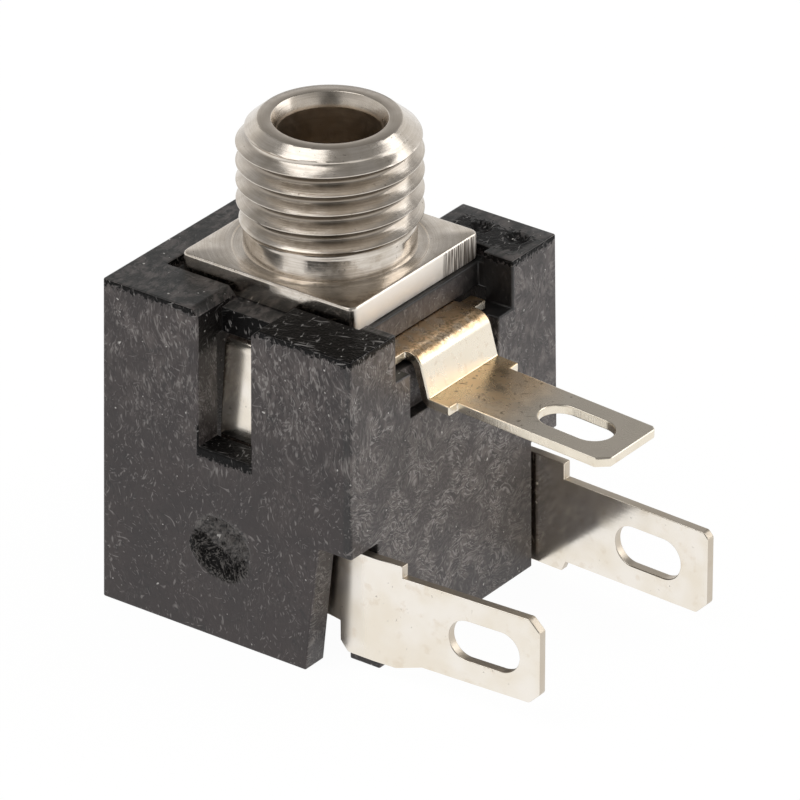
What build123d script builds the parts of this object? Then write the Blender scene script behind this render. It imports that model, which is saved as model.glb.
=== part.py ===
from build123d import *

import os
from math import radians, tan

# Panel jack socket for a 3.5 mm stereo plug: a moulded housing, a turned and threaded bush, and three
# stamped contacts that end in solder lugs.
# Millimetres. The origin is on the bush axis at the flange's top face, which seats against the panel.
# +Z runs out of the bush, and the solder lugs leave on the +X side.

# Plug that the socket takes: body radius, length, and its end to its narrow waist and to its ring
PLUG_R = 1.75
PLUG_LONG = 14.0
PLUG_WAIST = 3.15
PLUG_RING = 5.15

# Strip that the contacts are stamped from, and the solder slots in their lugs
STRIP = 0.35
SLOT_LONG = 2.8
SLOT_WIDE = 1.5

# Clearances
BORE_GAP = 0.025
RELIEF_GAP = 0.125
SPIGOT_GAP = 0.05
POCKET_GAP = 0.1
POCKET_FRONT_GAP = 0.35
POCKET_BACK_GAP = 0.5
NOTCH_GAP = 0.1
BASE_GAP = 0.04
BLOCK_GAP = 0.14
HAIRPIN_TOP_GAP = 0.125
HAIRPIN_GAP = 0.08
BLADE_GAP = 0.245

# Bush, turned in one piece with its square flange
THREAD_R = 3.175
THREAD_LOW = 0.72
BUSH_TOP = 4.66
BORE_R = PLUG_R + BORE_GAP
COUNTERSINK_R = 1.98
COUNTERSINK_DEPTH = 0.5
CROWN_R = 2.45
CROWN_BEVEL = 0.62
NECK_R = 2.95
FLANGE_SIDE = 7.2
FLANGE_THICK = 0.98
FLANGE_CORNER_R = 0.3
FLANGE_EDGE = 0.08
RELIEF_R = THREAD_R + RELIEF_GAP
RELIEF_DEPTH = 0.05
SPIGOT_R = 2.5
LIP_R = 2.85
LIP_THICK = 0.35

# Housing outside, drafted so that the mouth end is a little larger
HOUSING_TOP = -0.55
HOUSING_TALL = 12.2
HOUSING_BOTTOM = HOUSING_TOP - HOUSING_TALL
TOP_LONG_X = 10.34
TOP_LONG_Y = 11.64
DRAFT = 0.13
EDGE_R = 0.08

# Housing inside: a slab that carries the bush, under a pocket that stops the flange turning
SLAB_THICK = 0.92
SLAB_BOTTOM = -FLANGE_THICK - SLAB_THICK
SLAB_END_X = 3.75
SLAB_HALF_Y = 4.5
CAVITY_X = (-4.1, 4.05)

# Notch and recess in the +X wall, where the sleeve terminal passes, and the windows in the side walls
NOTCH_HALF_Y = 3.3
NOTCH_FLOOR = SLAB_BOTTOM - STRIP - NOTCH_GAP
RECESS_X = 4.75
RECESS_HALF_Y = 2.5
RECESS_TALL = 1.68
WINDOW_HALF_X = 1.1
WINDOW_OFFSET_X = -0.07
WINDOW_TALL = 5.15
WINDOW_SILL = HOUSING_TOP - WINDOW_TALL
WINDOW_BEVEL = 0.28

# Lug exits: a sheet leaves between the middle block and the cheek, under the corner post
POST_TALL = 7.4
POST_BOTTOM = HOUSING_TOP - POST_TALL
EXIT_X = 3.0
CHEEK_INNER_Y = 4.93
CHEEK_TOP_X = 3.87
CHEEK_LOW_X = 3.35
RIB_LONG = 1.0
RIB_THICK = 0.5
RIB_TALL = 3.4

# Sleeve terminal: a ring clamped under the slab, a strip over the wall and a drooping lug
SLEEVE_RING_R = 3.1
SLEEVE_STRIP_HALF_Y = 1.97
SLEEVE_LUG_HALF_Y = 1.52
SLEEVE_EAR_X = (3.95, 4.57)
SLEEVE_EAR_HALF_Y = 2.62
SLEEVE_SHOULDER_X = 6.4
SLEEVE_BENDS_X = (5.0, 5.43)
SLEEVE_BENDS_R = (0.42, 0.24)
SLEEVE_DROP = 1.51
SLEEVE_DROOP = 3.2
SLEEVE_END_X = 12.42
SLEEVE_SLOT_X = 10.2
SLEEVE_CLIPS = (0.38, 0.15)

# Tip and ring terminals: a base in the side slot, a lug, and a leg up behind the window
BASE_Y = 4.55
BASE_TALL = 3.0
BASE_RISE = 0.1
BASE_END_X = -3.6
NECK_X = 3.97
HEEL_DROP = 0.73
HEEL_LONG = 0.35
SHOULDER_X = 6.55
LUG_Y = CHEEK_INNER_Y - BASE_GAP - STRIP / 2
LUG_TALL = 3.18
JOGGLE_X = (3.4, 4.3)
JOGGLE_R = 3.0
YAW_X = 5.4
LEG_HALF_X = 1.1
LEG_OVERLAP = 0.8
KNEE_RISE = 0.25
BEND_R = 0.4

# Blades: sprung ends that hang from the hairpin bend over the leg, clear of the sleeve ring
BLADE_HALF_X = 0.9
BLADE_TOP_Y = SLEEVE_RING_R + BLADE_GAP + STRIP / 2
BLADE_ELBOW_IN = 0.2
BLADE_ELBOW_DROP = 1.0
TAIL_OUT = 1.0
TAIL_DROP = 1.1
HAIRPIN_SPAN = 0.75
HAIRPIN_R = 0.32
HAIRPIN_Y = BLADE_TOP_Y + HAIRPIN_SPAN / 2
HAIRPIN_Z = SLAB_BOTTOM - HAIRPIN_TOP_GAP - STRIP / 2

# What differs between the tip contact, on the -Y side, and the ring contact, on the +Y side
TIP_CONTACT_Y = 0.9
TIP_BELOW_POST = 0.27
TIP_SHOULDER_TALL = 3.97
TIP_RAMP = (0.3, 0.75)
TIP_LUG_DROP = 2.03
TIP_END_X = 12.0
TIP_SLOT_X = 9.8
TIP_YAW = 3.0
TIP_CLIPS = (0.42, 0.42)
RING_CONTACT_Y = 1.15
RING_BELOW_POST = 0.43
RING_SHOULDER_TALL = 4.2
RING_RAMP = (0.09, 0.07)
RING_LUG_DROP = 2.21
RING_END_X = 12.7
RING_SLOT_X = 10.15
RING_YAW = 2.5
RING_CLIPS = (0.48, 0.2)

# How far a cutting or trimming block runs past the face that it passes
PAST = 0.1


def cuboid(x, y, z):
    """Box between two limits on each axis."""
    size = [high - low for low, high in (x, y, z)]
    middle = [(high + low) / 2 for low, high in (x, y, z)]
    return Pos(*middle) * Box(*size)


def rectangle(x, half_y):
    """Rectangle between two limits in X, centred in Y."""
    return Pos((x[0] + x[1]) / 2, 0) * Rectangle(x[1] - x[0], 2 * half_y)


def bent_strip(points, radii, low, high, plane):
    """Strip of the stamping's gauge about a bent centre line in plane, from low to high across it."""
    centre = FilletPolyline(*points, radius=radii).wire()
    halves = [make_face(centre.offset_2d(STRIP / 2, side=side)) for side in (Side.LEFT, Side.RIGHT)]
    section = halves[0] + halves[1]
    return extrude(plane * Pos(0, 0, low) * section, amount=high - low)


def make_bush():
    """Threaded bush, square flange relieved round the neck, spigot and the lip rolled over the sleeve ring."""
    lip_top = SLAB_BOTTOM - STRIP
    profile = Polyline(
        (BORE_R, lip_top - LIP_THICK),
        (LIP_R, lip_top - LIP_THICK),
        (LIP_R, lip_top),
        (SPIGOT_R, lip_top),
        (SPIGOT_R, -FLANGE_THICK / 2),
        (NECK_R, -FLANGE_THICK / 2),
        (NECK_R, THREAD_LOW - THREAD_R + NECK_R),
        (THREAD_R, THREAD_LOW),
        (THREAD_R, BUSH_TOP - CROWN_BEVEL),
        (CROWN_R, BUSH_TOP),
        (COUNTERSINK_R, BUSH_TOP),
        (BORE_R, BUSH_TOP - COUNTERSINK_DEPTH),
        close=True,
    )
    turned = revolve(Plane.XZ * make_face(profile), Axis.Z)
    outline = RectangleRounded(FLANGE_SIDE, FLANGE_SIDE, FLANGE_CORNER_R)
    flange = Pos(0, 0, -FLANGE_THICK) * extrude(outline, amount=FLANGE_THICK)
    flange = chamfer(flange.faces().sort_by(Axis.Z)[-1].edges(), FLANGE_EDGE)
    flange -= Cylinder(RELIEF_R, 2 * RELIEF_DEPTH)
    flange -= Cylinder(SPIGOT_R, 2 * FLANGE_THICK + PAST)
    return turned + flange


def housing_shell():
    """Drafted outer block with its vertical edges just broken."""
    top = Pos(0, 0, HOUSING_TOP) * RectangleRounded(TOP_LONG_X, TOP_LONG_Y, EDGE_R)
    mouth = RectangleRounded(TOP_LONG_X + 2 * DRAFT, TOP_LONG_Y + 2 * DRAFT, EDGE_R)
    return loft([Pos(0, 0, HOUSING_BOTTOM) * mouth, top])


def window_cut(side):
    """Opening through a side wall down to its sill, with its two upper corners bevelled."""
    pocket_y = FLANGE_SIDE / 2 + POCKET_GAP
    span = (WINDOW_OFFSET_X - WINDOW_HALF_X, WINDOW_OFFSET_X + WINDOW_HALF_X)
    cut = cuboid(span, (SLAB_HALF_Y, TOP_LONG_Y), (WINDOW_SILL, 0))
    cut += cuboid(span, (pocket_y - PAST, TOP_LONG_Y), (-FLANGE_THICK, 0))
    flare = Polyline(
        (span[0] - WINDOW_BEVEL, HOUSING_TOP),
        (span[1] + WINDOW_BEVEL, HOUSING_TOP),
        (span[1], HOUSING_TOP - WINDOW_BEVEL),
        (span[0], HOUSING_TOP - WINDOW_BEVEL),
        close=True,
    )
    cut += extrude(Plane.XZ * Pos(0, 0, -TOP_LONG_Y) * make_face(flare), amount=TOP_LONG_Y - pocket_y)
    return cut if side > 0 else mirror(cut, Plane.XZ)


def exit_cut(side):
    """Way out for a lug under the post at one side, and the sloping end of the cheek beside it."""
    block_y = LUG_Y - STRIP / 2 - BLOCK_GAP
    low = HOUSING_BOTTOM - PAST
    cut = cuboid((EXIT_X, TOP_LONG_X), (block_y, CHEEK_INNER_Y), (low, POST_BOTTOM))
    end = Polyline(
        (CHEEK_TOP_X, POST_BOTTOM),
        (CHEEK_LOW_X, HOUSING_BOTTOM),
        (CHEEK_LOW_X, low),
        (TOP_LONG_X, low),
        (TOP_LONG_X, POST_BOTTOM),
        close=True,
    )
    reach = TOP_LONG_Y - CHEEK_INNER_Y + PAST
    cut += extrude(Plane.XZ * Pos(0, 0, -TOP_LONG_Y) * make_face(end), amount=reach)
    return cut if side > 0 else mirror(cut, Plane.XZ)


def make_housing():
    """Moulded housing: seat slab for the bush, open mouth below, windows, notch and lug exits."""
    flange_half = FLANGE_SIDE / 2
    pocket_x = (-flange_half - POCKET_BACK_GAP, flange_half + POCKET_FRONT_GAP)
    pocket_y = flange_half + POCKET_GAP
    wall_y = BASE_Y + STRIP / 2 + BASE_GAP
    rib_y = BASE_Y - STRIP / 2 - BASE_GAP
    body = housing_shell()
    body -= cuboid(CAVITY_X, (-wall_y, wall_y), (HOUSING_BOTTOM - PAST, SLAB_BOTTOM))
    body -= cuboid(pocket_x, (-pocket_y, pocket_y), (-FLANGE_THICK, 0))
    body -= Pos(0, 0, SLAB_BOTTOM) * Cylinder(SPIGOT_R + SPIGOT_GAP, 2 * SLAB_THICK + PAST)
    body -= cuboid((SLAB_END_X, TOP_LONG_X), (-NOTCH_HALF_Y, NOTCH_HALF_Y), (NOTCH_FLOOR, 0))
    recess_z = (NOTCH_FLOOR - RECESS_TALL, NOTCH_FLOOR + PAST)
    body -= cuboid((RECESS_X, TOP_LONG_X), (-RECESS_HALF_Y, RECESS_HALF_Y), recess_z)
    for side in (-1, 1):
        body -= window_cut(side)
        body -= exit_cut(side)
        rib = cuboid(
            (CAVITY_X[0], CAVITY_X[0] + RIB_LONG),
            sorted((side * rib_y, side * (rib_y - RIB_THICK))),
            (POST_BOTTOM - RIB_TALL, POST_BOTTOM),
        )
        body += rib
    return body


def lug_slot(x, y):
    """Solder slot in a lug, long way along X, as a face."""
    return Pos(x, y) * SlotOverall(SLOT_LONG, SLOT_WIDE)


def clip_end(face, clips):
    """Clips the two corners at the free end of a lug, the one lower in Y first."""
    for clip, place in zip(clips, (0, -1)):
        end_corners = face.vertices().sort_by(Axis.X)[-2:]
        face = chamfer(end_corners.sort_by(Axis.Y)[place], clip)
    return face


def make_sleeve_terminal():
    """Ring under the slab, strip with two ears over the wall, and a lug that droops a little."""
    level = SLAB_BOTTOM - STRIP / 2
    bend_z = level - SLEEVE_DROP
    end_z = bend_z - (SLEEVE_END_X - SLEEVE_BENDS_X[1]) * tan(radians(SLEEVE_DROOP))
    reach = SLEEVE_RING_R + PAST
    path = [(-reach, level), (SLEEVE_BENDS_X[0], level), (SLEEVE_BENDS_X[1], bend_z), (SLEEVE_END_X, end_z)]
    folded = bent_strip(path, SLEEVE_BENDS_R, -reach, reach, Plane.XZ)
    plan = Circle(SLEEVE_RING_R)
    plan += rectangle((0, SLEEVE_SHOULDER_X), SLEEVE_STRIP_HALF_Y)
    plan += rectangle(SLEEVE_EAR_X, SLEEVE_EAR_HALF_Y)
    plan += clip_end(rectangle((SLEEVE_BENDS_X[0], SLEEVE_END_X), SLEEVE_LUG_HALF_Y), SLEEVE_CLIPS)
    plan -= Circle(SPIGOT_R + SPIGOT_GAP)
    plan -= lug_slot(SLEEVE_SLOT_X, 0)
    return folded & extrude(plan, amount=HOUSING_TALL, both=True)


def side_blank(shoulder_top, shoulder_tall, ramp, lug_mid, slot_x, end_x, clips):
    """Side view of a base and its slotted lug, as a face in X and Z."""
    base_top = shoulder_top + BASE_RISE
    base_bottom = base_top - BASE_TALL
    shoulder_bottom = shoulder_top - shoulder_tall
    lug_top = lug_mid + LUG_TALL / 2
    lug_bottom = lug_mid - LUG_TALL / 2
    outline = Polyline(
        (BASE_END_X, base_top),
        (BASE_END_X, base_bottom),
        (NECK_X, base_bottom),
        (NECK_X, base_bottom - HEEL_DROP),
        (NECK_X + HEEL_LONG, shoulder_bottom),
        (SHOULDER_X - ramp[0], shoulder_bottom),
        (SHOULDER_X + ramp[1], lug_bottom),
        (end_x, lug_bottom),
        (end_x, lug_top),
        (SHOULDER_X, lug_top),
        (SHOULDER_X, shoulder_top),
        (NECK_X, shoulder_top),
        (NECK_X, base_top),
        close=True,
    )
    return clip_end(make_face(outline), clips) - lug_slot(slot_x, lug_mid)


def make_side_terminal(side, blank, shoulder_top, end_x, yaw):
    """Fixed part of a side contact: base and lug in the slot, and the leg up to the hairpin."""
    y_end = LUG_Y - (end_x - YAW_X) * tan(radians(yaw))
    path = [(BASE_END_X, BASE_Y), (JOGGLE_X[0], BASE_Y), (JOGGLE_X[1], LUG_Y), (YAW_X, LUG_Y), (end_x, y_end)]
    folded = bent_strip(path, [JOGGLE_R] * 3, HOUSING_BOTTOM, 0, Plane.XY)
    base = folded & extrude(Plane.XZ * blank, amount=TOP_LONG_Y, both=True)
    leg_path = [
        (BASE_Y, shoulder_top - LEG_OVERLAP),
        (BASE_Y, WINDOW_SILL + KNEE_RISE),
        (BLADE_TOP_Y + HAIRPIN_SPAN, HAIRPIN_Z),
        (HAIRPIN_Y + HAIRPIN_GAP / 2, HAIRPIN_Z),
    ]
    leg = bent_strip(leg_path, [BEND_R, HAIRPIN_R], -LEG_HALF_X, LEG_HALF_X, Plane.YZ)
    piece = base + leg
    return piece if side > 0 else mirror(piece, Plane.XZ)


def make_blade(side, contact_y, plug_place):
    """Sprung blade: down from the hairpin to the contact bend, then a tail turned away from the plug."""
    apex_y = contact_y + STRIP / 2
    apex_z = BUSH_TOP - PLUG_LONG + plug_place
    path = [
        (HAIRPIN_Y - HAIRPIN_GAP / 2, HAIRPIN_Z),
        (BLADE_TOP_Y, HAIRPIN_Z),
        (BLADE_TOP_Y - BLADE_ELBOW_IN, HAIRPIN_Z - BLADE_ELBOW_DROP),
        (apex_y, apex_z),
        (apex_y + TAIL_OUT, apex_z - TAIL_DROP),
    ]
    piece = bent_strip(path, [HAIRPIN_R, BEND_R, BEND_R], -BLADE_HALF_X, BLADE_HALF_X, Plane.YZ)
    return piece if side > 0 else mirror(piece, Plane.XZ)


def make_tip_terminal():
    """Terminal on the -Y side, which carries the blade that bears on the plug's tip."""
    top = POST_BOTTOM - TIP_BELOW_POST
    lug_mid = top - TIP_LUG_DROP
    blank = side_blank(top, TIP_SHOULDER_TALL, TIP_RAMP, lug_mid, TIP_SLOT_X, TIP_END_X, TIP_CLIPS)
    return make_side_terminal(-1, blank, top, TIP_END_X, TIP_YAW)


def make_ring_terminal():
    """Terminal on the +Y side, which carries the blade that bears on the plug's ring."""
    top = POST_BOTTOM - RING_BELOW_POST
    lug_mid = top - RING_LUG_DROP
    blank = side_blank(top, RING_SHOULDER_TALL, RING_RAMP, lug_mid, RING_SLOT_X, RING_END_X, RING_CLIPS)
    return make_side_terminal(1, blank, top, RING_END_X, RING_YAW)


parts = {
    "housing": make_housing(),
    "threaded_bush": make_bush(),
    "sleeve_terminal": make_sleeve_terminal(),
    "tip_terminal": make_tip_terminal(),
    "ring_terminal": make_ring_terminal(),
    "tip_blade": make_blade(-1, TIP_CONTACT_Y, PLUG_WAIST),
    "ring_blade": make_blade(1, RING_CONTACT_Y, PLUG_RING),
}

os.makedirs("parts", exist_ok=True)
for name, part in parts.items():
    export_step(part, f"parts/{name}.step")
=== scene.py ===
from math import atan2, ceil, cos, exp, floor, hypot, pi, radians, sin, tau

import bmesh
import bpy
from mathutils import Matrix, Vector, noise


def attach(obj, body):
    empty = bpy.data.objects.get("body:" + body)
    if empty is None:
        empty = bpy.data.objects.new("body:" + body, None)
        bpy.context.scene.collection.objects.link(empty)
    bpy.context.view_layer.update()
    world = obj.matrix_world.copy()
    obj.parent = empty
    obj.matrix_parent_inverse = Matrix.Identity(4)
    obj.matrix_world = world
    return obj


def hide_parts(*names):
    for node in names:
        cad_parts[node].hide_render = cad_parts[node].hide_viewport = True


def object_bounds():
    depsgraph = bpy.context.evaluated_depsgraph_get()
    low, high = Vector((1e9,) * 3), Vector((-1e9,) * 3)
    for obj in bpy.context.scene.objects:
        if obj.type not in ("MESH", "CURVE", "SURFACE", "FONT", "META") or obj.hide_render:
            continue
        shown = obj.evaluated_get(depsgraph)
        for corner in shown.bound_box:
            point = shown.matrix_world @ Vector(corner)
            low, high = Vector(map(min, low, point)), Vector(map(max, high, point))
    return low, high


# Panel jack socket on a white studio floor. Sizes are written in millimetres and turned to metres once.
MM = 0.001

# A limit that nothing on the part reaches
BEYOND = 99

# Camera, fitted to the corners of the housing and the flange in the photograph
CAMERA_AT = (161.663, -215.526, 138.074)
CAMERA_AZIMUTH = 36.375
CAMERA_ELEVATION = 28.147
LENS = 405
SENSOR = 36

# Housing: heights of its top face, of the slab's underside and of the window's sill
TOP_Z = -0.55
SLAB_LOW = -1.9
SILL_Z = -5.7

# Housing: regions that take a finish or a painted shade of their own, with two limits and a soft edge along
# each axis, or none
FRONT_POST_TOP = ((1.0, BEYOND, 0.2), (-BEYOND, -3.7, 0.2), None)
BACK_POST_PATCH = ((1.9, 4.75, 0.25), (3.3, 4.3, 0.25), None)
FRINGE_Z = (TOP_Z - 0.5, BEYOND, 0.16)
WINDOW_BAR = (None, (-4.7, -4.3, 0.05), (SLAB_LOW, 0.0, 0.05))
WINDOW_FOOT = ((-1.2, 1.05, 0.08), None, (SILL_Z + 0.02, SILL_Z + 1, 0.1))
WINDOW = ((-1.4, 1.2, 0.05), (-5.75, -4.0, 0.05), None)
SILL = (None, None, (SILL_Z - 0.1, SILL_Z + 0.1, 0.05))
NOTCH = ((3.6, 5.4, 0.02), (-3.4, 3.4, 0.02), (-2.4, -0.8, 0.05))
FRONT_CORNER = ((4.98, BEYOND, 0.16), None, None)

# Housing: limits between which a share goes smoothly from one value to another
FAN_TURNS_Z = (-6.2, -4.6)
STRANDS_Z = (-5.0, 1.0)
BACK_POST_Y = (2.9, 3.5)
NOTCH_DARK_Z = (-1.16, -1.02)
NOTCH_DARK_Y = (1.6, 3.1)
CHEEK_SHADE_Z = (-3.0, -2.3)

# Lugs: stretches along x that take a finish of their own, each with two limits and a soft edge
BENT = (3.2, 4.8, 0.5)
CUT_EDGES = (5.0, BEYOND, 0.3)
PITTED_BEND = (4.5, 5.0, 0.2)
STAINED_TOP = (-BEYOND, 5.35, 0.25)
GOLDEN_FOLD = (5.5, 6.2, 0.6)
BROWN = (6.6, 9.1, 1.0)
GREY = (9.4, BEYOND, 1.2)
MARKED = (-BEYOND, 9.0, 0.8)

# Bush: bore, countersink and crown
BUSH_TOP = 4.66
BORE_R = 1.775
COUNTERSINK_R = 1.98
COUNTERSINK_LOW = 4.16
CROWN_R = 2.45
BEVEL_LOW = 4.04

# Bush: thread of 36 turns to the inch, its crest height where it faces the camera, and the plain neck
PITCH = 25.4 / 36
THREAD_R = 3.175
ROOT_R = 2.8
NECK_R = 2.95
CREST_AZIMUTH = -53.6
CREST_Z = 1.145
RUNOUT = (0.72, 1.2)
FLANK_CURVE = 1.35

# Bush: flange, the ring turned off round the neck, and the spigot with its rolled lip
FLANGE_HALF = 3.6
FLANGE_CORNER = 0.3
FLANGE_THICK = 0.98
FLANGE_EDGE = 0.1
RELIEF_R = 3.3
RELIEF_SLOPE = 0.03
RELIEF_DEPTH = 0.05
FLANGE_TURNED_R = 3.45
SPIGOT_R = 2.5
LIP_R = 2.85
LIP_TOP = -2.25
LIP_THICK = 0.35

# Bush: where its finish or its painted shade and light changes, each with a low and a high limit and a soft
# edge
SHADED_R = (2.7, 3.14, 0.02)
SHADED_Z = (0.95, 4.1, 0.1)
BORED_R = (-BEYOND, BORE_R + 0.015, 0.04)
CROWN_RING = (2.0, 2.42, 0.02)
CROWN_Z = (BUSH_TOP - 0.01, BEYOND, 0.01)
CONE_R = (-BEYOND, COUNTERSINK_R - 0.02, 0.03)
CONE_Z = (COUNTERSINK_LOW + 0.03, BEYOND, 0.02)
FLANGE_SIDE = (3.5, BEYOND, 0.05)
SHEARED_Y = (1.6, BEYOND, 0.15)

# Bush: where the shade under a crest starts and where it fades, in turns of thread below the crest
SHADE_STARTS = (0.02, 0.14)
SHADE_FADES = (0.44, 0.95)

# Turned mesh: columns round it, rows to a pitch, a crest and a root, its broken edges, and the least turn in
# degrees that stays sharp
COLUMNS = 288
ROWS_A_PITCH = 24
CREST_ROWS = 1
ROOT_ROWS = 2
BREAK = 0.03
BUSH_SHARP = 50

# Steps in the rounding of the flange's upper edge
EDGE_STEPS = 4

# Extra columns by each corner of the flange, this many each way, in degrees
CORNER_COLUMNS = 6
CORNER_STEP = 1.25

# Edges, by their turn in degrees: nearly flat ones are dissolved, and hard ones rounded. Short hard ones of
# little turn are a lug's clipped corners, and are rounded by the whole offset.
FLAT_TURN = 0.5
HARD_TURN = 40
CLIP_TURN = 60
CLIP_LONGEST = 0.4
CLIP_R = 0.08

# Points nearer than this are one, in the turned mesh and in a shape from the solids
TURNED_WELD = 0.0002
SOLID_WELD = 0.001

# Scars: how nearly a wall faces the scar's way, and how far from the scar's plane it may lean
FACES_WAY = 0.99
OFF_PLANE = 0.15

# Scars: the torn gate on the -Y side. A scar has its radius and how far that strays, the width of its rim,
# its depth and that of its lumps, and half the side and the cuts of the square that it is made in.
GATE = (-0.22, -5.91, -9.3)
GATE_R = 1.18
GATE_STRAYS = 0.16
GATE_RIM = 0.12
GATE_DEEP = 0.22
GATE_LUMPS = 0.2
GATE_HALF = 1.45
GATE_CUTS = 60

# Gate: the pit in its crater with the ring round it, and the dome beside them, placed across and up
PIT_AT = (0.1, 0.18)
PIT_DEEP = 0.12
PIT_SPREAD = 0.08
PIT_RING_R = 0.2
PIT_RING_HIGH = 0.09
DOME_AT = (-0.3, 0.4)
DOME_HIGH = 0.12
DOME_SPREAD = 0.5

# Gate: where its finish lies, by the wall's side, the distance from its middle, the height, and the splinter
GATE_FACE = (-BEYOND, -5.2, 0.1)
GATE_EDGE = (GATE_R + 0.52, GATE_R + 0.7)
GATE_RIPPED = (0.5, 1.0)
SPLINTER_ACROSS = (-0.26, -0.13, 0.04)
SPLINTER_UP = (0.39, 0.47, 0.04)

# Scars: two ejector marks on the +Y post
EJECTORS = ((2.85, 4.72), (4.3, 4.77))
EJECTOR_R = 0.42
EJECTOR_STRAYS = 0.08
EJECTOR_RIM = 0.1
EJECTOR_DEEP = 0.1
EJECTOR_LUMPS = 0.1
EJECTOR_HALF = 0.6
EJECTOR_CUTS = 24

# Patterns, by the size of a lump in millimetres. The marks of turning, shearing, cutting and rolling are
# finer on the real part, and are drawn this coarse so that they show.
MOULD_GRAIN = 0.06
TURNING = 0.06
SHEARING = 0.09
CUTTING = 0.05
ROLLING = 0.1

# Strokes. Each kind has a width in millimetres, how many times longer it is, a lean from upright in degrees,
# how much it covers, and a seed. Glass strands are about 0.01 mm thick, and are drawn wider to be seen.
FLOW = ((0.1, 3.8, 0, 0.08, 0.0), (0.085, 4.5, 16, 0.08, 3.1), (0.09, 3.4, -24, 0.06, 5.3))
FAN_ABOVE = ((0.09, 5.0, 15, 0.12, 7.1), (0.07, 5.0, -20, 0.1, 7.7))
FAN_BELOW = ((0.075, 6.5, 72, 0.13, 8.4), (0.07, 6.0, 105, 0.11, 9.6))
LOOSE_WILD = ((0.11, 4.6, -38, 0.025, 11.0), (0.11, 4.2, 62, 0.015, 13.0))
LOOSE_CURLED = ((0.11, 3.8, 10, 0.035, 15.0),)
FURROWS = ((0.13, 4.5, 35, 0.08, 17.0),)
SCRATCHES = ((0.12, 9.0, -70, 0.03, 21.0), (0.09, 4.0, 15, 0.04, 23.0))
TORN_FIBRES = ((0.09, 5.0, 30, 0.13, 27.0), (0.08, 5.0, -30, 0.12, 29.0), (0.08, 4.0, 80, 0.08, 31.0))
HATCHING = ((0.12, 6.0, 35, 0.0, 2.2), (0.12, 6.0, -50, 0.0, 4.4))

# Heights of the noise at which a stroke begins and is whole, before its cover is taken off
STROKE_EDGE = (0.68, 0.8)

# Studio, in metres: reach of the floor, and distance and size of the soft lights
FLOOR_REACH = 1.5
LAMP_DISTANCE = 0.6
LAMP_SIZE = 0.4

# White of the floor to the camera and in the metal: its strength, and its share beside the shadow
WHITE_STRENGTH = 1.03
WHITE_SHARE = 0.94

# Studio light from the horizon up to the zenith: a height from nought to one, and its linear colour
SKY = (
    (0.0, (0.95, 0.95, 0.95, 1)),
    (0.36, (0.88, 0.8668, 0.8492, 1)),
    (0.46, (0.52, 0.5122, 0.5018, 1)),
    (0.56, (0.4, 0.394, 0.386, 1)),
    (0.75, (0.3, 0.2955, 0.2895, 1)),
    (1.0, (0.3, 0.295, 0.29, 1)),
)

# Dark of the room behind the photographer: the rise of its middle, how near to the middle it begins and
# is full, and the light left in it
DARK_RISE = 0.3
DARK_NEAR = (0.93, 1.01)
DARK_LIGHT = 0.25

# Node setting for a number that goes smoothly from one limit to the other
SMOOTH = {"interpolation_type": "SMOOTHSTEP"}

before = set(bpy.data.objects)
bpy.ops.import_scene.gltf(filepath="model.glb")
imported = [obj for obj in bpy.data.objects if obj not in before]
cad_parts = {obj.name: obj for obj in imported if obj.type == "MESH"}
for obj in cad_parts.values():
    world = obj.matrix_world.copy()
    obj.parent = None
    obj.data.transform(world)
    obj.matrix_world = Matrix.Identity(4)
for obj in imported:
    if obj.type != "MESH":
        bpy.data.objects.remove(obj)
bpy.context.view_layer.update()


def linear(colour):
    """An sRGB hex colour, such as C8C2B6, as linear RGBA."""
    shares = [int(colour[i : i + 2], 16) / 255 for i in (0, 2, 4)]
    return [s / 12.92 if s <= 0.04045 else ((s + 0.055) / 1.055) ** 2.4 for s in shares] + [1]


def metres(*lengths):
    """Lengths in millimetres, as metres."""
    return [length * MM for length in lengths]


def fill(tree, socket, value):
    """Gives an input a value, or links another node's output to it."""
    if isinstance(value, bpy.types.NodeSocket):
        tree.links.new(value, socket)
    else:
        socket.default_value = value


def add(tree, kind, *inputs, **named):
    """Adds a shader node and gives its first live output. Its live inputs are filled in order, or by name.

    Names in lower case are the node's settings.
    """
    made = tree.nodes.new("ShaderNode" + kind)
    for name, value in named.items():
        if name.islower():
            setattr(made, name, value)
    for socket, value in zip([socket for socket in made.inputs if socket.enabled], inputs):
        fill(tree, socket, value)
    for name, value in named.items():
        if not name.islower():
            fill(tree, made.inputs[name], value)
    return next((socket for socket in made.outputs if socket.enabled), None)


def joined(tree, operation, values):
    """Numbers or sockets put together one after another by the same operation."""
    result, *others = values
    for value in others:
        result = add(tree, "Math", result, value, operation=operation)
    return result


def product(tree, *shares):
    """The shares multiplied together."""
    return joined(tree, "MULTIPLY", shares)


def total(tree, *terms):
    """The terms added up."""
    return joined(tree, "ADD", terms)


def most(tree, *shares):
    """The greatest of the shares."""
    return joined(tree, "MAXIMUM", shares)


def coated(tree, colour, *coats):
    """A colour with others laid over it in turn. Each coat is where it lies, how strongly, and its colour."""
    for share, strength, over in coats:
        colour = add(tree, "Mix", product(tree, share, strength), colour, over, data_type="RGBA")
    return colour


def within(tree, value, low, high, soft):
    """One between two limits in millimetres, and nought outside them past a soft edge."""
    rise = add(tree, "MapRange", value, *metres(low - soft, low), **SMOOTH)
    fall = add(tree, "MapRange", value, *metres(high, high + soft), 1.0, 0.0, **SMOOTH)
    return product(tree, rise, fall)


def in_region(tree, place, region):
    """One in a region of the part, and nought outside it. The place is three numbers, x, y and z."""
    return product(tree, *[within(tree, along, *limits) for along, limits in zip(place, region) if limits])


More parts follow.
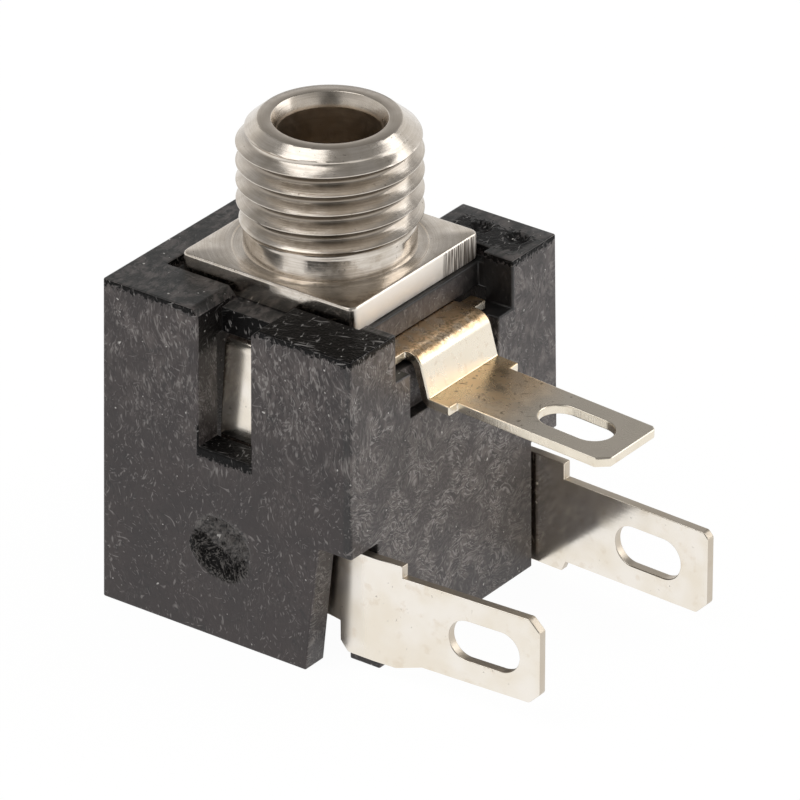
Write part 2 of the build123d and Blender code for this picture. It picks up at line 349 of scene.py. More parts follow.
def grain(tree, where, size, detail=2.0, stretch=(1, 1, 1), seed=0.0, lean=0.0):
    """Noise with lumps of about size millimetres, drawn out by a stretch along axes that lean by degrees."""
    counted = add(
        tree,
        "Mapping",
        Vector=where,
        Location=metres(seed, 1.7 * seed, 0.6 * seed),
        Rotation=(0, 0, radians(lean)),
        Scale=metres(*[size * s for s in stretch]),
        vector_type="TEXTURE",
    )
    return add(tree, "TexNoise", Vector=counted, Scale=1.0, Detail=detail)


def strokes(tree, where, kinds):
    """Short strokes, the tops of drawn-out noise, of the kinds in one of the lists above."""
    found = []
    for width, longer, lean, cover, seed in kinds:
        lumps = grain(tree, where, width, 1.0, (1, longer, 1), seed, lean)
        low, high = (height - cover for height in STROKE_EDGE)
        found.append(add(tree, "MapRange", lumps, low, high, **SMOOTH))
    return most(tree, *found)


def swirled(tree, plane, place, size, reach):
    """The plane's coordinates pushed about by up to reach millimetres, over lumps of size millimetres."""
    push = grain(tree, place, size, 1.0).node.outputs["Color"]
    push = add(tree, "VectorMath", push, (0.5, 0.5, 0.5), operation="SUBTRACT")
    push = add(tree, "VectorMath", push, 2 * reach * MM, operation="SCALE")
    return add(tree, "VectorMath", plane, push, operation="ADD")


def face_plane(tree, place, normal):
    """Flat coordinates on an upright face, along it and up, and on a level face, x and y."""
    x, y, z = add(tree, "SeparateXYZ", place).node.outputs
    up = add(tree, "SeparateXYZ", normal).node.outputs["Z"]
    level = add(tree, "Math", add(tree, "Math", up, operation="ABSOLUTE"), 0.7, operation="GREATER_THAN")
    upright = add(tree, "CombineXYZ", total(tree, x, y), z)
    flat = add(tree, "CombineXYZ", x, y)
    return add(tree, "Mix", level, upright, flat, data_type="VECTOR")


def finish_named(name):
    """A new material with its node tree, and the object's own coordinates and normal as sockets."""
    material = bpy.data.materials.new(name)
    material.use_nodes = True
    coordinates = add(material.node_tree, "TexCoord").node.outputs
    return material, material.node_tree, coordinates["Object"], coordinates["Normal"]


def finished(material, looks):
    """The material, with the inputs of its Principled shader filled."""
    shader = material.node_tree.nodes["Principled BSDF"]
    for name, value in looks.items():
        fill(material.node_tree, shader.inputs[name], value)
    return material


def housing_faces(tree, normal):
    """The housing's faces that look at the lugs, and those that look up, as shares."""
    along_x, _, up = add(tree, "SeparateXYZ", normal).node.outputs
    lug_side = add(tree, "Math", along_x, 0.5, operation="GREATER_THAN")
    return lug_side, add(tree, "MapRange", up, 0.5, 0.7, **SMOOTH)


def flow_shares(tree, place, normal, curled, wild):
    """Where the glass shows as the nylon flowed: pale strands, and a mist of those too fine to tell apart."""
    x, y, z = add(tree, "SeparateXYZ", place).node.outputs
    lug_side, level = housing_faces(tree, normal)
    low_down = add(tree, "MapRange", z, *metres(*FAN_TURNS_Z), 1.0, 0.0, **SMOOTH)
    cloudy = total(tree, z, product(tree, grain(tree, place, 1.8), 5 * MM))
    high = add(tree, "MapRange", cloudy, *metres(*STRANDS_Z), 0.1, 1.0, **SMOOTH)
    patch = add(tree, "MapRange", grain(tree, place, 0.9, seed=2.0), 0.38, 0.6, 0.2, 1.0, **SMOOTH)

    # Strands stand upright and thin out downwards, but on the lug side they turn level low down
    fan = add(tree, "Mix", low_down, strokes(tree, wild, FAN_ABOVE), strokes(tree, wild, FAN_BELOW))
    strand = add(tree, "Mix", lug_side, product(tree, strokes(tree, curled, FLOW), high), fan)
    fewer_on_top = add(tree, "MapRange", level, 0.0, 1.0, 1.0, 0.2, **SMOOTH)
    fewer_at_back = add(tree, "MapRange", y, *metres(*BACK_POST_Y), 1.0, 0.4, **SMOOTH)
    notch = in_region(tree, (x, y, z), NOTCH)
    fewer_in_notch = add(tree, "MapRange", notch, 0.0, 1.0, 1.0, 0.25, **SMOOTH)
    strand = product(tree, strand, patch, fewer_on_top, fewer_at_back, fewer_in_notch)

    climbing = grain(tree, curled, 0.22, 3.0, (1, 2.4, 1))
    crossing = grain(tree, wild, 0.2, 3.0, (3.2, 1, 1))
    streaks = add(tree, "Mix", product(tree, lug_side, low_down), climbing, crossing)
    streaks = add(tree, "MapRange", streaks, 0.36, 0.64, **SMOOTH)
    return strand, product(tree, streaks, most(tree, high, lug_side), patch)


def notch_shade_share(tree, place, normal):
    """Where the notch under the flange is out of the light, for painted shade."""
    x, y, z = add(tree, "SeparateXYZ", place).node.outputs
    away = add(tree, "Math", 1.0, housing_faces(tree, normal)[0], operation="SUBTRACT")
    under_flange = add(tree, "MapRange", z, *metres(*NOTCH_DARK_Z), **SMOOTH)
    far_end = add(tree, "MapRange", y, *metres(*NOTCH_DARK_Y), **SMOOTH)
    return product(tree, in_region(tree, (x, y, z), NOTCH), most(tree, away, under_flange, far_end))


def torn_and_shaded_share(tree, place, normal, ragged):
    """Where the moulding is torn and black: under its top edges, on the back post, and at the window's foot
    and sill. Black painted shade lies on the front post's top, which is torn as well, on the slab's end in
    the window and up the window's cheeks.
    """
    x, y, z = add(tree, "SeparateXYZ", place).node.outputs
    _, along_y, up = add(tree, "SeparateXYZ", normal).node.outputs
    upright = add(tree, "Math", add(tree, "Math", up, operation="ABSOLUTE"), 0.5, operation="LESS_THAN")
    front = add(tree, "Math", along_y, -0.5, operation="LESS_THAN")
    level = housing_faces(tree, normal)[1]

    frayed_z = total(tree, z, product(tree, ragged, -0.7 * MM))
    fringe = product(tree, upright, within(tree, frayed_z, *FRINGE_Z))
    # The front post's top: torn, and painted shade as well
    front_post = product(tree, level, in_region(tree, (x, y, z), FRONT_POST_TOP))
    frayed_y = total(tree, y, product(tree, ragged, -1.4 * MM))
    back_post = product(tree, level, in_region(tree, (x, frayed_y, z), BACK_POST_PATCH), 0.9)

    # The slab's end seen in the window: painted shade under the flange
    shaded_bar = product(tree, front, in_region(tree, (x, y, z), WINDOW_BAR))
    ragged_z = total(tree, z, product(tree, ragged, 0.6 * MM))
    foot = product(tree, front, in_region(tree, (x, y, ragged_z), WINDOW_FOOT))
    inside = in_region(tree, (x, y, z), WINDOW)
    ledge = product(tree, level, inside, in_region(tree, (x, y, z), SILL), 0.9)
    # The window's cheeks above the slab's level: painted shadow
    upper = add(tree, "MapRange", frayed_z, *metres(*CHEEK_SHADE_Z), **SMOOTH)
    shaded_cheek = product(tree, upright, inside, upper, 0.9)
    return most(tree, fringe, front_post, back_post, shaded_bar, foot, ledge, shaded_cheek)


def gate_shares(tree, place, ragged):
    """The gate scar's parts: all of its crater, the torn lower part of it, and a splinter of glass."""
    x, y, z = add(tree, "SeparateXYZ", place).node.outputs
    across = add(tree, "Math", x, GATE[0] * MM, operation="SUBTRACT")
    up = add(tree, "Math", z, GATE[2] * MM, operation="SUBTRACT")
    face = within(tree, y, *GATE_FACE)
    off = add(tree, "VectorMath", add(tree, "CombineXYZ", across, 0.0, up), operation="LENGTH")
    bays = grain(tree, place, 0.7, seed=33.0)
    off = total(tree, off, product(tree, bays, 0.7 * MM), product(tree, ragged, 0.4 * MM))
    crater = product(tree, face, add(tree, "MapRange", off, *metres(*GATE_EDGE), 1.0, 0.0, **SMOOTH))
    slant = total(tree, up, product(tree, across, 0.35), product(tree, ragged, 1.6 * MM))
    ripped = product(tree, crater, add(tree, "MapRange", slant, *metres(*GATE_RIPPED), 0.95, 0.0, **SMOOTH))
    splinter = product(tree, within(tree, across, *SPLINTER_ACROSS), within(tree, up, *SPLINTER_UP))
    return crater, ripped, product(tree, face, splinter)


def glass_filled_nylon():
    """Black nylon with short glass, moulded: warm grey, pale strands where it flowed, black where torn, with
    painted shade on its tops, its front corner and its hollows, and painted light on its side towards the
    lugs.
    """
    material, tree, place, normal = finish_named("glass_filled_nylon")
    x, y, z = add(tree, "SeparateXYZ", place).node.outputs
    along_y = add(tree, "SeparateXYZ", normal).node.outputs["Y"]
    lug_side, level = housing_faces(tree, normal)
    plane = face_plane(tree, place, normal)
    curled = swirled(tree, swirled(tree, plane, place, 2.2, 0.7), place, 0.5, 0.06)
    wild = swirled(tree, swirled(tree, plane, place, 1.3, 0.9), place, 0.5, 0.07)
    scratched = swirled(tree, plane, place, 0.5, 0.08)
    rough = grain(tree, place, 0.12, 3.0)
    fine = grain(tree, place, MOULD_GRAIN)

    strand, mist = flow_shares(tree, place, normal, curled, wild)
    torn_and_shaded = torn_and_shaded_share(tree, place, normal, rough)
    gate, ripped, splinter = gate_shares(tree, place, rough)
    loose = most(tree, strokes(tree, wild, LOOSE_WILD), strokes(tree, curled, LOOSE_CURLED))
    fibres = strokes(tree, wild, TORN_FIBRES)
    lumps = add(tree, "MapRange", grain(tree, place, 0.13, 3.0, seed=25.0), 0.4, 0.6, **SMOOTH)
    flecks_and_glints = add(tree, "MapRange", grain(tree, place, 0.2, 1.0, seed=19.0), 0.75, 0.785, **SMOOTH)

    cloud = add(tree, "MapRange", grain(tree, place, 1.8), 0.3, 0.7, **SMOOTH)
    # Painted shade down the front corner of the -Y side
    front = add(tree, "Math", along_y, -0.3, operation="LESS_THAN")
    corner = product(tree, in_region(tree, (x, y, z), FRONT_CORNER), front)
    # The mist shows more on the side towards the lugs, partly as painted light
    veil = total(tree, 0.55, product(tree, lug_side, 0.3))
    fewer_on_top = add(tree, "MapRange", level, 0.0, 1.0, 0.7, 0.2, **SMOOTH)

    black = coated(tree, linear("0D0C0C"), (strokes(tree, scratched, SCRATCHES), 0.7, linear("A3A09E")))
    lumpy = coated(tree, linear("262423"), (lumps, 1.0, linear("605C59")), (fibres, 0.4, linear("8E8986")))
    fibrous = coated(tree, linear("0E0D0D"), (fibres, 0.6, linear("85817E")))
    colour = coated(
        tree,
        linear("2C2424"),
        (cloud, 1.0, linear("372E2D")),
        # Painted light: the side towards the lugs is lighter. Painted shade: the faces that look up are
        # darker.
        (lug_side, 0.4, linear("4B4645")),
        (level, 0.95, linear("171919")),
        # Painted shade down the front corner
        (corner, 0.8, linear("141212")),
        (mist, veil, linear("706865")),
        (strokes(tree, wild, FURROWS), 0.55, linear("191717")),
        (strand, 0.8, linear("9C9794")),
        (loose, fewer_on_top, linear("918C8A")),
        # Painted shade in the notch under the flange
        (notch_shade_share(tree, place, normal), 0.85, linear("100F0F")),
        # Black where torn, and black painted shade on the front post, the slab's end and the window's cheeks
        (torn_and_shaded, 1.0, black),
        (gate, 0.85, lumpy),
        (ripped, 1.0, fibrous),
        # Pale glass flecks, whose whiteness is partly a painted glint, and the splinter
        (most(tree, flecks_and_glints, splinter), 0.9, linear("D6D3CF")),
    )

    # Torn places and painted shade both lose their sheen
    worn_and_shaded = most(tree, torn_and_shaded, ripped)
    height = total(tree, product(tree, fine, 0.4), product(tree, strand, 0.5))
    height = total(tree, height, product(tree, worn_and_shaded, rough, 4.0))
    looks = {
        "Base Color": colour,
        "Specular IOR Level": add(tree, "MapRange", worn_and_shaded, 0.0, 1.0, 0.5, 0.1, **SMOOTH),
        "Roughness": add(tree, "MapRange", fine, 0.3, 0.7, 0.4, 0.52, **SMOOTH),
        "Normal": add(tree, "Bump", Height=height, Strength=0.7, Distance=0.012 * MM),
        "IOR": 1.53,
    }
    return finished(material, looks)


def thread_shade(tree, place, radius):
    """Painted shade under each crest of the thread, by the turns of thread below the crest."""
    x, y, z = add(tree, "SeparateXYZ", place).node.outputs
    around = add(tree, "Math", y, x, operation="ARCTAN2")
    around = add(tree, "Math", around, radians(CREST_AZIMUTH), operation="SUBTRACT")
    below = add(tree, "Math", CREST_Z * MM, z, operation="SUBTRACT")
    below = add(tree, "Math", below, PITCH * MM, operation="DIVIDE")
    turns = add(tree, "Math", total(tree, product(tree, around, 1 / tau), below), operation="FRACT")
    threaded = product(tree, within(tree, radius, *SHADED_R), within(tree, z, *SHADED_Z))
    starts = add(tree, "MapRange", turns, *SHADE_STARTS, **SMOOTH)
    fades = add(tree, "MapRange", turns, *SHADE_FADES, 1.0, 0.0, **SMOOTH)
    return product(tree, threaded, starts, fades)


def flange_shares(tree, place, normal, radius):
    """The flange's side that faces the lugs, which is matt, and the sheared end of it."""
    y = add(tree, "SeparateXYZ", place).node.outputs["Y"]
    along_x, along_y, _ = add(tree, "SeparateXYZ", normal).node.outputs
    across = [add(tree, "Math", along, operation="ABSOLUTE") for along in (along_x, along_y)]
    side = add(tree, "MapRange", most(tree, *across), 0.8, 0.95, **SMOOTH)
    facing = add(tree, "Math", along_x, 0.5, operation="GREATER_THAN")
    lug_side = product(tree, side, within(tree, radius, *FLANGE_SIDE), facing)
    return lug_side, product(tree, lug_side, within(tree, y, *SHEARED_Y))


def nickel_plate():
    """Nickel on turned brass: a warm grey mirror with turned rings, matt where cut, with painted shade under
    each crest and on its crown and countersink, and painted light on the flange's side towards the lugs.
    """
    material, tree, place, normal = finish_named("nickel_plate")
    x, y, z = add(tree, "SeparateXYZ", place).node.outputs
    radius = add(tree, "VectorMath", add(tree, "CombineXYZ", x, y), operation="LENGTH")
    lug_side, sheared = flange_shares(tree, place, normal, radius)
    rings = grain(tree, add(tree, "CombineXYZ", radius, product(tree, x, 0.03), z), TURNING, 3.0)
    lines = grain(tree, add(tree, "CombineXYZ", y, 0.0, product(tree, z, 0.05)), SHEARING, 3.0)

    bored = within(tree, radius, *BORED_R)
    crown = product(tree, within(tree, z, *CROWN_Z), within(tree, radius, *CROWN_RING))
    cone = product(tree, within(tree, radius, *CONE_R), within(tree, z, *CONE_Z))
    dull = add(tree, "MapRange", grain(tree, place, 0.6, 3.0), 0.35, 0.7, **SMOOTH)
    specks = add(tree, "MapRange", grain(tree, place, 0.12, seed=4.0), 0.68, 0.76, **SMOOTH)
    dark_rings = add(tree, "MapRange", rings, 0.35, 0.65, **SMOOTH)
    dark_lines = add(tree, "MapRange", lines, 0.4, 0.6, **SMOOTH)
    colour = coated(
        tree,
        linear("DDD5CB"),
        (dull, 1.0, linear("CFC6BA")),
        (dark_rings, 0.25, linear("A79C8F")),
        (specks, 0.55, linear("6E6458")),
        # Painted shade: the crown and the countersink are darkened for their dim reflections
        (crown, 0.6, linear("A0968A")),
        (cone, 0.4, linear("A0968A")),
        # Painted light: the flange's side towards the lugs is near white
        (lug_side, 1.0, linear("FFF9F1")),
        (sheared, dark_lines, linear("7C7269")),
        (thread_shade(tree, place, radius), 0.75, linear("6A5F52")),
        (bored, 0.5, linear("BFA98D")),
    )

    mottled = add(tree, "MapRange", grain(tree, place, 0.25), 0.3, 0.7, 0.16, 0.24, **SMOOTH)
    matt = product(tree, most(tree, crown, bored), 0.14)
    height = add(tree, "Mix", sheared, rings, product(tree, lines, 4.0))
    looks = {
        "Base Color": colour,
        "Roughness": total(tree, mottled, matt, product(tree, cone, 0.05), product(tree, lug_side, 0.44)),
        "Normal": add(tree, "Bump", Height=height, Strength=0.6, Distance=0.004 * MM),
        "Metallic": 1.0,
    }
    return finished(material, looks)


def tinned_strip():
    """Bright tin on rolled strip: warm near-white, softly mottled, a few pits, duller on cuts and bends."""
    material, tree, place, normal = finish_named("tinned_strip")
    x = add(tree, "SeparateXYZ", place).node.outputs["X"]
    along_y = add(tree, "SeparateXYZ", normal).node.outputs["Y"]
    edge = add(tree, "Math", along_y, operation="ABSOLUTE")
    edge = add(tree, "MapRange", edge, 0.3, 0.7, 1.0, 0.0, **SMOOTH)
    cut = product(tree, edge, within(tree, x, *CUT_EDGES))
    bent = within(tree, x, *BENT)
    rolled = grain(tree, place, ROLLING, stretch=(5, 1, 1))
    mottle = add(tree, "MapRange", grain(tree, place, 1.4), 0.3, 0.7, **SMOOTH)
    stain = add(tree, "MapRange", grain(tree, place, 0.5, 3.0, seed=7.0), 0.56, 0.72, **SMOOTH)
    pits = add(tree, "MapRange", grain(tree, place, 0.16, 3.0, seed=4.0), 0.68, 0.76, **SMOOTH)
    colour = coated(
        tree,
        linear("F2ECE3"),
        (mottle, 1.0, linear("ECE3D4")),
        (stain, 0.25, linear("D2BEA2")),
        (pits, 0.6, linear("978F84")),
        (cut, 0.7, linear("B9AD9C")),
    )
    mottled = add(tree, "MapRange", mottle, 0.0, 1.0, 0.13, 0.19, **SMOOTH)
    looks = {
        "Base Color": colour,
        "Roughness": total(tree, mottled, product(tree, cut, 0.25), product(tree, bent, 0.16)),
        "Normal": add(tree, "Bump", Height=rolled, Strength=0.4, Distance=0.002 * MM),
        "Metallic": 1.0,
    }
    return finished(material, looks)


def tarnished_strip():
    """The same strip aged: golden and brown over its top bend and by the fold, dull grey out on the lug."""
    material, tree, place, normal = finish_named("tarnished_strip")
    x, _, z = add(tree, "SeparateXYZ", place).node.outputs
    up = add(tree, "SeparateXYZ", normal).node.outputs["Z"]
    level = add(tree, "MapRange", up, 0.35, 0.8, **SMOOTH)
    cloud = grain(tree, place, 0.7, 3.0)
    ragged = total(tree, x, product(tree, cloud, 1.6 * MM))

    uneven = add(tree, "MapRange", grain(tree, place, 0.35, 4.0), 0.3, 0.6, 0.55, 1.0, **SMOOTH)
    over = product(tree, level, within(tree, x, *STAINED_TOP), uneven)
    fold = product(tree, level, within(tree, x, *GOLDEN_FOLD))
    cloudy = add(tree, "MapRange", cloud, 0.3, 0.7, 0.6, 1.0, **SMOOTH)
    brown = product(tree, level, within(tree, ragged, *BROWN), cloudy)
    grey = product(tree, level, within(tree, ragged, *GREY))

    spots = add(tree, "MapRange", grain(tree, place, 0.22, 3.0, seed=6.0), 0.62, 0.72, **SMOOTH)
    hatch = strokes(tree, swirled(tree, place, place, 0.6, 0.15), HATCHING)
    marks = product(tree, most(tree, spots, hatch), level, within(tree, x, *MARKED))
    pitted = add(tree, "MapRange", grain(tree, place, 0.12, 3.0, seed=8.0), 0.45, 0.6, **SMOOTH)
    upper = add(tree, "MapRange", up, 0.4, 0.7, **SMOOTH)
    bend = product(tree, upper, within(tree, x, *PITTED_BEND), pitted)
    rusty = add(tree, "MapRange", grain(tree, place, 0.3, 3.0, seed=9.0), 0.56, 0.7, **SMOOTH)
    rust = product(tree, rusty, add(tree, "MapRange", level, 0.0, 1.0, 1.0, 0.0, **SMOOTH))
    colour = coated(
        tree,
        linear("F3EADA"),
        (cloud, 1.0, linear("E8DECB")),
        (fold, 0.9, linear("FBE6BC")),
        (brown, 0.9, linear("FFDCAE")),
        (grey, 0.85, linear("C6BEB2")),
        (over, 0.85, linear("DDB88A")),
        (marks, 0.6, linear("5E4C36")),
        (bend, 0.5, linear("6E5636")),
        (rust, 0.15, linear("B98F63")),
    )

    cut = grain(tree, add(tree, "CombineXYZ", x, 0.0, product(tree, z, 0.1)), CUTTING)
    height = add(tree, "Mix", level, product(tree, cut, 2.0), grain(tree, place, ROLLING))
    looks = {
        "Base Color": colour,
        "Roughness": add(tree, "MapRange", cloud, 0.3, 0.7, 0.22, 0.32, **SMOOTH),
        "Normal": add(tree, "Bump", Height=height, Strength=0.5, Distance=0.003 * MM),
        "Metallic": 1.0,
    }
    return finished(material, looks)


def flange_reach(angle):
    """Distance from the axis to the flange's rounded square outline."""
    x, y = abs(cos(angle)), abs(sin(angle))
    reach = FLANGE_HALF / max(x, y)
    inner = FLANGE_HALF - FLANGE_CORNER
    if min(x, y) * reach > inner:
        along = inner * (x + y)
        reach = along + (along**2 - 2 * inner**2 + FLANGE_CORNER**2) ** 0.5
    return reach


def clamped(value, low=0.0, high=1.0):
    """The value, held between two limits."""
    return min(max(value, low), high)


def thread_radius(angle, z):
    """Radius of the bush between the neck and the crown at an angle and a height."""
    turns = (z - CREST_Z) / PITCH - (angle - radians(CREST_AZIMUTH)) / tau
    from_crest = abs(turns - round(turns)) * ROWS_A_PITCH
    flank = (ROWS_A_PITCH - CREST_ROWS - ROOT_ROWS) / 2
    down = clamped((from_crest - CREST_ROWS / 2) / flank)
    thread = ROOT_R + (THREAD_R - ROOT_R) * (1 - down) ** FLANK_CURVE
    fade = clamped((z - RUNOUT[0]) / (RUNOUT[1] - RUNOUT[0]))
    fade = fade * fade * (3 - 2 * fade)
    thread = NECK_R + (thread - NECK_R) * fade
    crown = CROWN_R + (BUSH_TOP - z) * (THREAD_R - CROWN_R) / (BUSH_TOP - BEVEL_LOW)
    return min(thread, crown)


def rounded(before, corner, after, size):
    """Three points round a corner of the profile, in place of the corner itself."""
    first = corner + (before - corner).normalized() * size
    last = corner + (after - corner).normalized() * size
    return [first, corner * 0.5 + (first + last) * 0.25, last]


def broken(profile, size):
    """A profile whose inner corners are rounded, with its two ends as they are."""
    corners = [Vector(point) for point in profile]
    points = [corners[0]]
    for before, corner, after in zip(corners, corners[1:], corners[2:]):
        points += rounded(before, corner, after, size)
    return points + [corners[-1]]


def rings_of(points, angles):
    """One level ring of the grid for each point of a profile."""
    return [[(r, z)] * len(angles) for r, z in points]


def helix_rows(angles):
    """Rows that climb with the thread, from the crown down to the neck, so that its crest is a clean line."""
    turn = radians(CREST_AZIMUTH) / tau
    first = ceil(((BUSH_TOP - CREST_Z) / PITCH + turn) * ROWS_A_PITCH)
    last = floor(((RUNOUT[0] - CREST_Z) / PITCH + turn - 1) * ROWS_A_PITCH) - 1
    rows = []
    for step in range(first, last - 1, -1):
        row = []
        for angle in angles:
            z = CREST_Z + PITCH * (angle / tau - turn + (step + 0.5) / ROWS_A_PITCH)
            z = clamped(z, RUNOUT[0], BUSH_TOP)
            row.append((thread_radius(angle, z), z))
        rows.append(row)
    return rows


def flange_rows(angles):
    """Rows over the flange's rounded upper edge, down its side and under it."""
    reaches = [flange_reach(angle) for angle in angles]
    rows = []
    for step in range(EDGE_STEPS + 1):
        tilt = step * pi / 2 / EDGE_STEPS
        back, down = FLANGE_EDGE * (1 - sin(tilt)), FLANGE_EDGE * (1 - cos(tilt))
        rows.append([(reach - back, -down) for reach in reaches])
    for back, z in ((0, FLANGE_EDGE / 2), (FLANGE_EDGE / 2, 0)):
        rows.append([(reach - back, z - FLANGE_THICK) for reach in reaches])
    return rows


def bush_rows(angles):
    """The bush's rows in three runs: up the bore to the crown, down the thread, and on over the flange."""
    lip_low = LIP_TOP - LIP_THICK
    bore = [(BORE_R, lip_low + BREAK), (BORE_R, COUNTERSINK_LOW)]
    bore += [(COUNTERSINK_R, BUSH_TOP), (CROWN_R, BUSH_TOP)]
    neck = [(NECK_R, RUNOUT[0]), (NECK_R, -RELIEF_DEPTH), (RELIEF_R, -RELIEF_DEPTH)]
    neck += [(RELIEF_R + RELIEF_SLOPE, 0), (FLANGE_TURNED_R, 0)]
    spigot = [(SPIGOT_R + FLANGE_EDGE, -FLANGE_THICK), (SPIGOT_R, -FLANGE_THICK)]
    spigot += [(SPIGOT_R, LIP_TOP), (LIP_R, LIP_TOP)]
    spigot += [(LIP_R, lip_low), (BORE_R, lip_low), (BORE_R, lip_low + 2 * BREAK)]
    upper = rings_of(broken(bore, BREAK), angles)
    lower = rings_of(broken(neck, BREAK / 2)[1:], angles) + flange_rows(angles)
    return upper, helix_rows(angles), lower + rings_of(broken(spigot, BREAK)[:-1], angles)


def make_bush(material):
    """The threaded bush as one closed turned mesh, with its square flange."""
    near = [radians(CORNER_STEP * step) for step in range(-CORNER_COLUMNS, CORNER_COLUMNS + 1)]
    angles = {round(tau * k / COLUMNS, 6) for k in range(COLUMNS)}
    angles |= {round(radians(45 + 90 * k) + a, 6) for k in range(4) for a in near}
    angles = sorted(angles)
    upper, helix, lower = bush_rows(angles)
    rows = upper + helix + lower

    # A helix row meets the row one turn down where the grid closes
    behind = list(range(len(rows)))
    for k in range(len(helix)):
        behind[len(upper) + k] = len(upper) + max(k - ROWS_A_PITCH, 0)

    shape = bmesh.new()
    grid = []
    for row in rows:
        ring = [(r * MM * cos(a), r * MM * sin(a), z * MM) for a, (r, z) in zip(angles, row)]
        grid.append([shape.verts.new(point) for point in ring])
    seam = [grid[behind[k]][0] for k in range(len(rows))]
    for k in range(len(rows)):
        below = (k + 1) % len(rows)
        for i in range(len(angles) - 1):
            shape.faces.new((grid[k][i], grid[k][i + 1], grid[below][i + 1], grid[below][i]))
        if seam[k] != seam[below]:
            shape.faces.new((grid[k][-1], seam[k], seam[below], grid[below][-1]))
    bmesh.ops.remove_doubles(shape, verts=shape.verts, dist=TURNED_WELD * MM)
    bmesh.ops.recalc_face_normals(shape, faces=shape.faces)
    placed(shape, "threaded_bush_turned", material, "root", "threaded_bush", BUSH_SHARP)


def placed(shape, name, material, body, node, sharp):
    """A mesh as a piece that stands for a node and rides on its body, smooth but for its sharp edges."""
    mesh = bpy.data.meshes.new(name)
    shape.to_mesh(mesh)
    shape.free()
    mesh.shade_smooth()
    mesh.set_sharp_from_angle(angle=radians(sharp))
    mesh.materials.append(material)
    piece = bpy.data.objects.new(name, mesh)
    bpy.context.scene.collection.objects.link(piece)
    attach(piece, body)
    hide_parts(node)
    level = piece.modifiers.new("flat_faces", "WEIGHTED_NORMAL")
    level.keep_sharp = True
    return piece


def scar(shape, outward, centre, half, cuts, depth_at):
    """Cuts a square of a flat face into fine facets, and sinks each by its depth in millimetres."""
    outward, centre = Vector(outward), Vector(centre) * MM
    across = Vector((1, 0, 0))
    up = outward.cross(across) if outward.z else Vector((0, 0, 1))

    def lies_here(face):
        off = face.calc_center_median() - centre
        return face.normal.dot(outward) > FACES_WAY and abs(off.dot(outward)) < OFF_PLANE * MM

    for way in (across, -across, up, -up):
        faces = [face for face in shape.faces if lies_here(face)]
        parts = faces + list({v for f in faces for v in f.verts}) + list({e for f in faces for e in f.edges})
        bmesh.ops.bisect_plane(shape, geom=parts, plane_co=centre + way * half * MM, plane_no=way)
    here = filter(lies_here, shape.faces)
    patch = min(here, key=lambda face: (face.calc_center_bounds() - centre).length)
    lean = patch.normal.copy()
    kept = set(shape.verts) - set(patch.verts)
    bmesh.ops.subdivide_edges(shape, edges=patch.edges, cuts=cuts, use_grid_fill=True)
    for vert in set(shape.verts) - kept:
        off = (vert.co - centre) / MM
        if abs(off.dot(lean)) < OFF_PLANE:
            vert.co -= lean * depth_at(off.dot(across), off.dot(up)) * MM


def bump(distance, spread):
    """A smooth bump, one high in its middle, at a distance from there."""
    return exp(-((distance / spread) ** 2))


def gate_depth(across, up):
    """Depth of the gate's torn crater: a steep rim, lumps left inside it, and a small ringed pit."""
    rim = GATE_R + GATE_STRAYS * noise.noise(Vector((2.2 * atan2(up, across), 0, 5)))
    inside = clamped((rim - hypot(across, up)) / GATE_RIM)
    lumps = noise.fractal(Vector((3.2 * across, 3.2 * up, 1)), 0.7, 2.2, 4)
    off = hypot(across - PIT_AT[0], up - PIT_AT[1])
    pit = PIT_DEEP * bump(off, PIT_SPREAD) - PIT_RING_HIGH * bump(off - PIT_RING_R, PIT_SPREAD)
    dome = DOME_HIGH * bump(hypot(across - DOME_AT[0], up - DOME_AT[1]), DOME_SPREAD)
    return max(inside * (GATE_DEEP + GATE_LUMPS * lumps + pit - dome), 0)


def ejector_depth(across, up):
    """Depth of an ejector's mark: a shallow round dent with a lumpy floor."""
    rim = EJECTOR_R + EJECTOR_STRAYS * noise.noise(Vector((2 * atan2(up, across), 3, 0)))
    inside = clamped((rim - hypot(across, up)) / EJECTOR_RIM)
    lumps = noise.noise(Vector((5 * across, 5 * up, 4)))
    return max(inside * (EJECTOR_DEEP + EJECTOR_LUMPS * lumps), 0)


def refined(node, body, material, radius, scars=()):
    """A node's own shape with its hard edges slightly rounded, as moulding and stamping leave them."""
    shape = bmesh.new()
    shape.from_mesh(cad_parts[node].data)
    bmesh.ops.remove_doubles(shape, verts=shape.verts, dist=SOLID_WELD * MM)
    bmesh.ops.dissolve_limit(shape, angle_limit=radians(FLAT_TURN), verts=shape.verts, edges=shape.edges)
    weight = shape.edges.layers.float.new("bevel_weight_edge")
    for edge in shape.edges:
        turn = edge.calc_face_angle() if edge.is_manifold else 0
        if turn > radians(HARD_TURN):
            clipped = turn < radians(CLIP_TURN) and edge.calc_length() < CLIP_LONGEST * MM
            edge[weight] = 1.0 if clipped else radius / CLIP_R
    for outward, centre, half, cuts, depth_at in scars:
        scar(shape, outward, centre, half, cuts, depth_at)
    piece = placed(shape, node + "_finished", material, body, node, HARD_TURN)
    bevel = piece.modifiers.new("rounded_edges", "BEVEL")
    bevel.width = CLIP_R * MM
    bevel.segments = 3
    bevel.limit_method = "WEIGHT"
    bevel.use_clamp_overlap = False
    piece.modifiers.move(1, 0)


